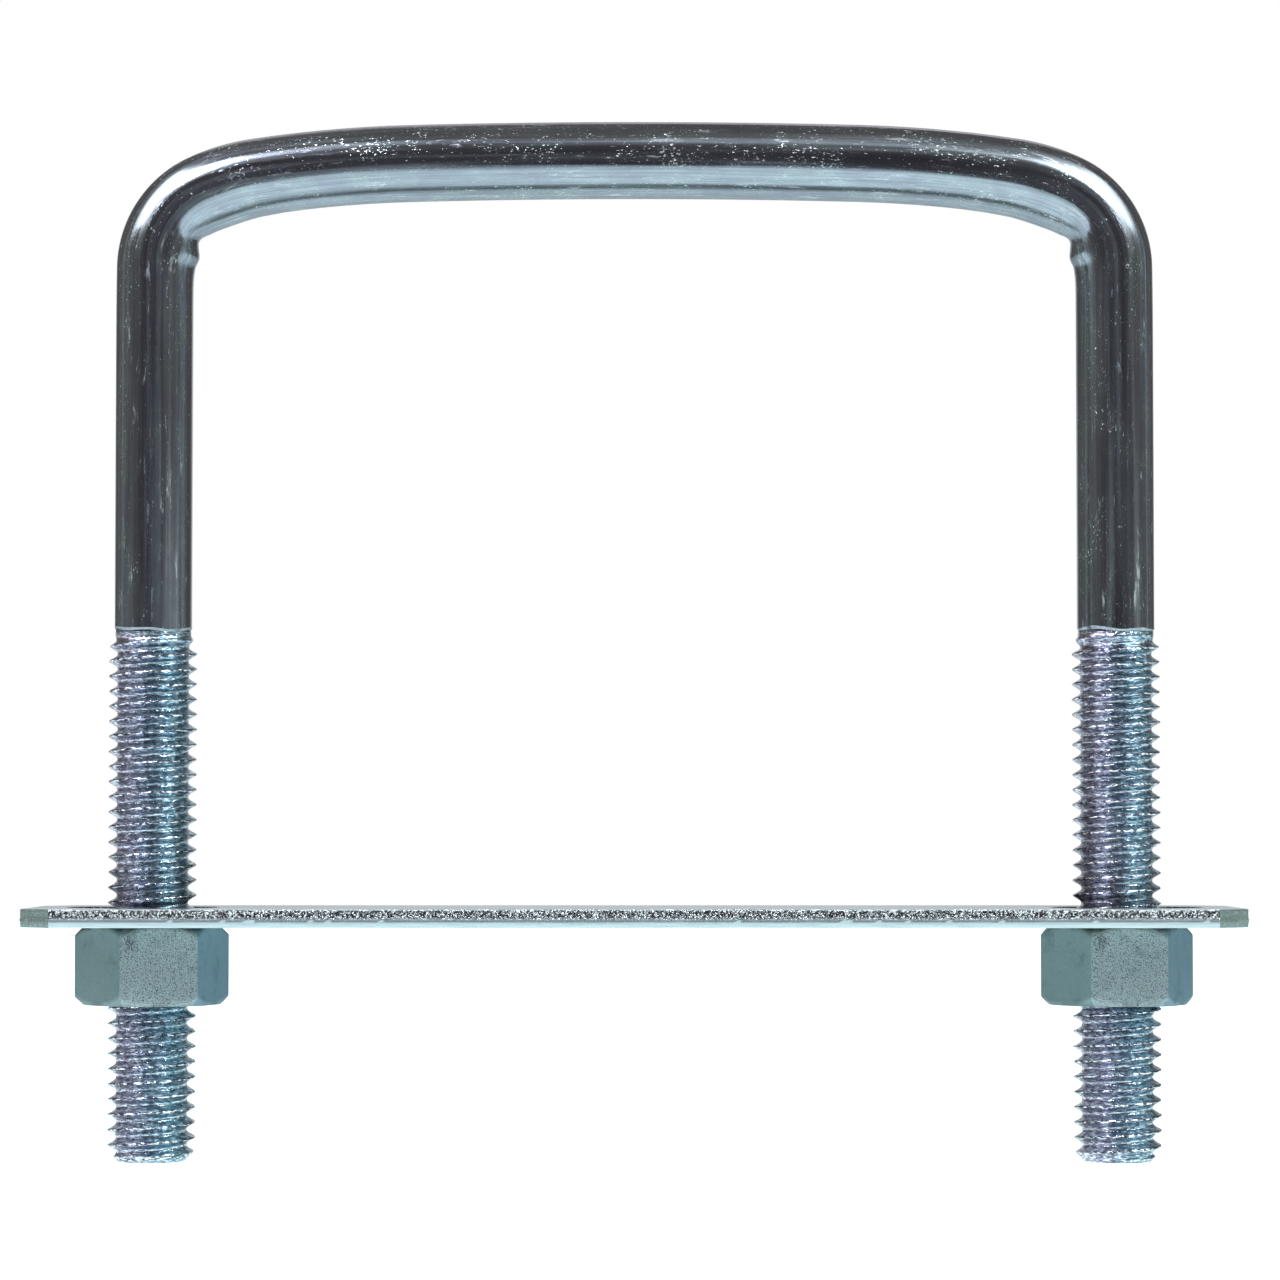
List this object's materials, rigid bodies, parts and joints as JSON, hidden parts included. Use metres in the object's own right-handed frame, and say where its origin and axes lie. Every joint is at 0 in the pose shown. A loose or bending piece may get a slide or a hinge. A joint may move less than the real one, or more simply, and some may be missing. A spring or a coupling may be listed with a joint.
{
  "type": "u-bolt",
  "caption": "Square-bend U-bolt of round steel rod with threaded legs, a slotted flat strap plate and hex nuts under it, for clamping a square bar or beam.",
  "frame": {"origin": "midway between the two legs' axes, in the plane of the legs' ends", "axes": "+X along the strap plate from the left leg to the right leg, +Y through the plate's width, away from the front, +Z along the legs towards the crown"},
  "size_m": [0.127, 0.0254, 0.1098],
  "materials": {
    "rod_steel": "bright zinc plated, drawn rod",
    "plate_steel": "bright zinc plated, sheared strip",
    "nut_steel": "zinc plated, cold formed"
  },
  "bodies": {
    "bolt_body": {"u_bolt": "rod_steel"},
    "plate_body": {"strap_plate": "plate_steel"},
    "left_nut_body": {"left_nut": "nut_steel"},
    "right_nut_body": {"right_nut": "nut_steel"}
  },
  "joints": [
    {"name": "plate_travel", "type": "slide", "parent": "bolt_body", "child": "plate_body", "axis": [0, 0, 1], "range_m": [-0.01588, 0.02857]},
    {"name": "left_nut_turn", "type": "hinge", "parent": "plate_body", "child": "left_nut_body", "pos_m": [-0.0508, 0, 0.0164], "axis": [0, 0, 1], "range_deg": [-3600, 6480]},
    {"name": "right_nut_turn", "type": "hinge", "parent": "plate_body", "child": "right_nut_body", "pos_m": [0.0508, 0, 0.0164], "axis": [0, 0, 1], "range_deg": [-3600, 6480]}
  ],
  "couplings": [
    {"joint": "left_nut_turn", "follows": "plate_travel", "rad_per_m": 3957.9},
    {"joint": "right_nut_turn", "follows": "plate_travel", "rad_per_m": 3957.9}
  ]
}
